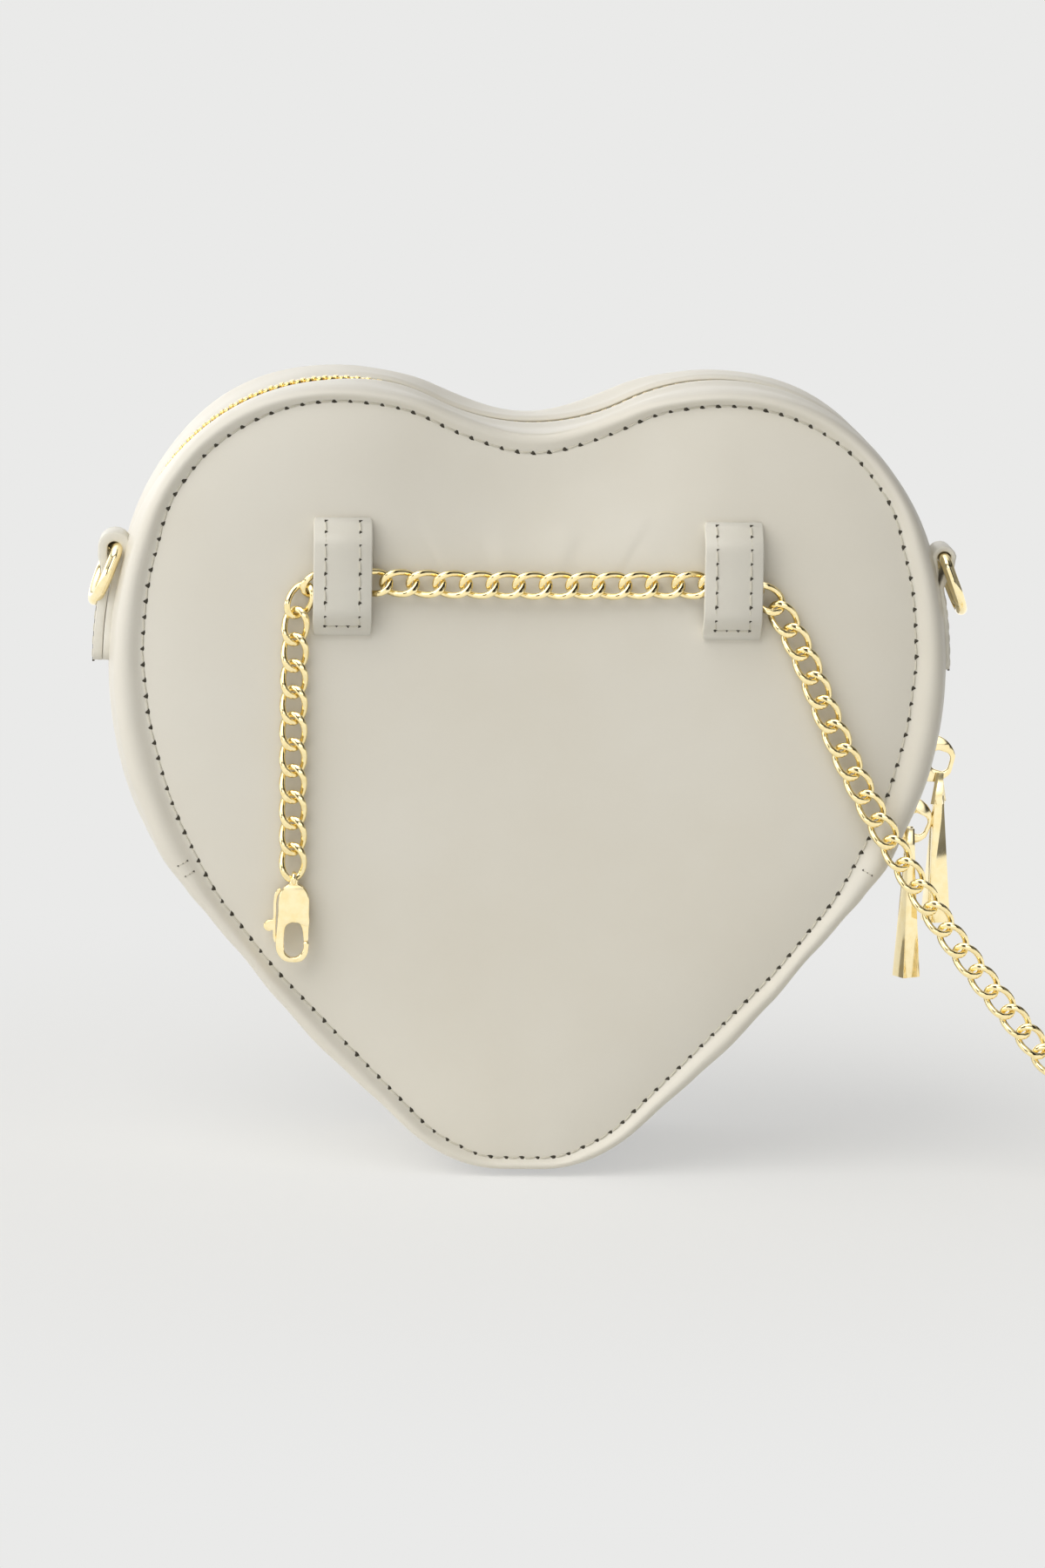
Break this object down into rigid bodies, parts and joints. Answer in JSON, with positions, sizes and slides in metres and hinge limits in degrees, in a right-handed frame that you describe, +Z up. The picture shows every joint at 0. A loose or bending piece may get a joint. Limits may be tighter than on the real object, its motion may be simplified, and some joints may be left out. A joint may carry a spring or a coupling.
{
  "type": "heart shaped purse",
  "caption": "Heart-shaped zipped leather purse standing on its point, with folded ring tabs, belt loops on the back and a detachable curb chain strap with lobster clasps.",
  "frame": {"origin": "middle of the flat foot at the point of the heart, halfway between the two panels", "axes": "+X to the right facing the back panel, +Y from the back panel to the front panel, +Z up"},
  "size_m": [0.3797, 0.0748, 0.1918],
  "materials": {
    "ivory_leather": "smooth satin",
    "zip_tape_cloth": "woven",
    "zip_teeth_brass": "polished",
    "polished_hardware": "polished",
    "chain_brass": "polished"
  },
  "bodies": {
    "bag_back": {"back_panel": "ivory_leather", "zip_gusset_back": "ivory_leather", "lower_gusset": "ivory_leather", "zip_tape_back": "zip_tape_cloth", "zip_teeth_back": "zip_teeth_brass", "zip_stops": "zip_teeth_brass", "right_ring_tab": "ivory_leather", "left_ring_tab": "ivory_leather", "right_belt_loop": "ivory_leather", "left_belt_loop": "ivory_leather", "chain_hanging_end": "chain_brass", "chain_through_loops": "chain_brass", "chain_long_run": "chain_brass", "chain_coil": "chain_brass", "near_jump_ring": "chain_brass"},
    "front": {"front_panel": "ivory_leather", "zip_gusset_front": "ivory_leather", "zip_tape_front": "zip_tape_cloth", "zip_teeth_front": "zip_teeth_brass"},
    "upper_slider": {"upper_slider": "polished_hardware"},
    "upper_pull": {"upper_pull": "polished_hardware"},
    "lower_slider": {"lower_slider": "polished_hardware"},
    "lower_pull": {"lower_pull": "polished_hardware"},
    "right_ring": {"right_ring": "polished_hardware"},
    "left_ring": {"left_ring": "polished_hardware"},
    "near_clasp": {"near_clasp_body": "polished_hardware"},
    "near_lever": {"near_clasp_lever": "polished_hardware"},
    "far_clasp": {"far_clasp_body": "polished_hardware"},
    "far_lever": {"far_clasp_lever": "polished_hardware"}
  },
  "joints": [
    {"name": "front_swing", "type": "hinge", "parent": "bag_back", "child": "front", "pos_m": [0, 0.033, 0], "axis": [-1, 0, 0], "range_deg": [0, 14], "deforming": ["lower_gusset"]},
    {"name": "upper_slider_travel", "type": "hinge", "parent": "bag_back", "child": "upper_slider", "pos_m": [0, 0, 0.12374], "axis": [0, -1, 0], "range_deg": [0, 30]},
    {"name": "lower_slider_travel", "type": "hinge", "parent": "bag_back", "child": "lower_slider", "pos_m": [0, 0, 0.12374], "axis": [0, -1, 0], "range_deg": [-1.2, 0]},
    {"name": "upper_pull_swing", "type": "hinge", "parent": "upper_slider", "child": "upper_pull", "pos_m": [0.10085, 0, 0.09377], "axis": [0, -1, 0], "range_deg": [0, 120]},
    {"name": "lower_pull_swing", "type": "hinge", "parent": "lower_slider", "child": "lower_pull", "pos_m": [0.09401, 0, 0.07878], "axis": [0, -1, 0], "range_deg": [-20, 0]},
    {"name": "right_ring_swing", "type": "hinge", "parent": "bag_back", "child": "right_ring", "pos_m": [0.10003, -0.0165, 0.15111], "axis": [0, -1, 0], "range_deg": [0, 135]},
    {"name": "left_ring_swing", "type": "hinge", "parent": "bag_back", "child": "left_ring", "pos_m": [-0.10003, -0.0165, 0.15111], "axis": [0, 1, 0], "range_deg": [0, 135]},
    {"name": "near_clasp_swing", "type": "hinge", "parent": "bag_back", "child": "near_clasp", "pos_m": [-0.0565, -0.0364, 0.0723], "axis": [0, 1, 0], "range_deg": [-40, 40]},
    {"name": "near_lever_press", "type": "hinge", "parent": "near_clasp", "child": "near_lever", "pos_m": [-0.0568, -0.0364, 0.0645], "axis": [0, 1, 0], "range_deg": [0, 20], "stiffness_Nm_per_rad": 0.004, "springref_deg": -11.46},
    {"name": "far_clasp_swing", "type": "hinge", "parent": "bag_back", "child": "far_clasp", "pos_m": [0.2318, -0.009, 0.00145], "axis": [0, 0, 1], "range_deg": [-1, 9]},
    {"name": "far_lever_press", "type": "hinge", "parent": "far_clasp", "child": "far_lever", "pos_m": [0.224, -0.0093, 0.00145], "axis": [0, 0, 1], "range_deg": [0, 20], "stiffness_Nm_per_rad": 0.004, "springref_deg": -11.46}
  ]
}
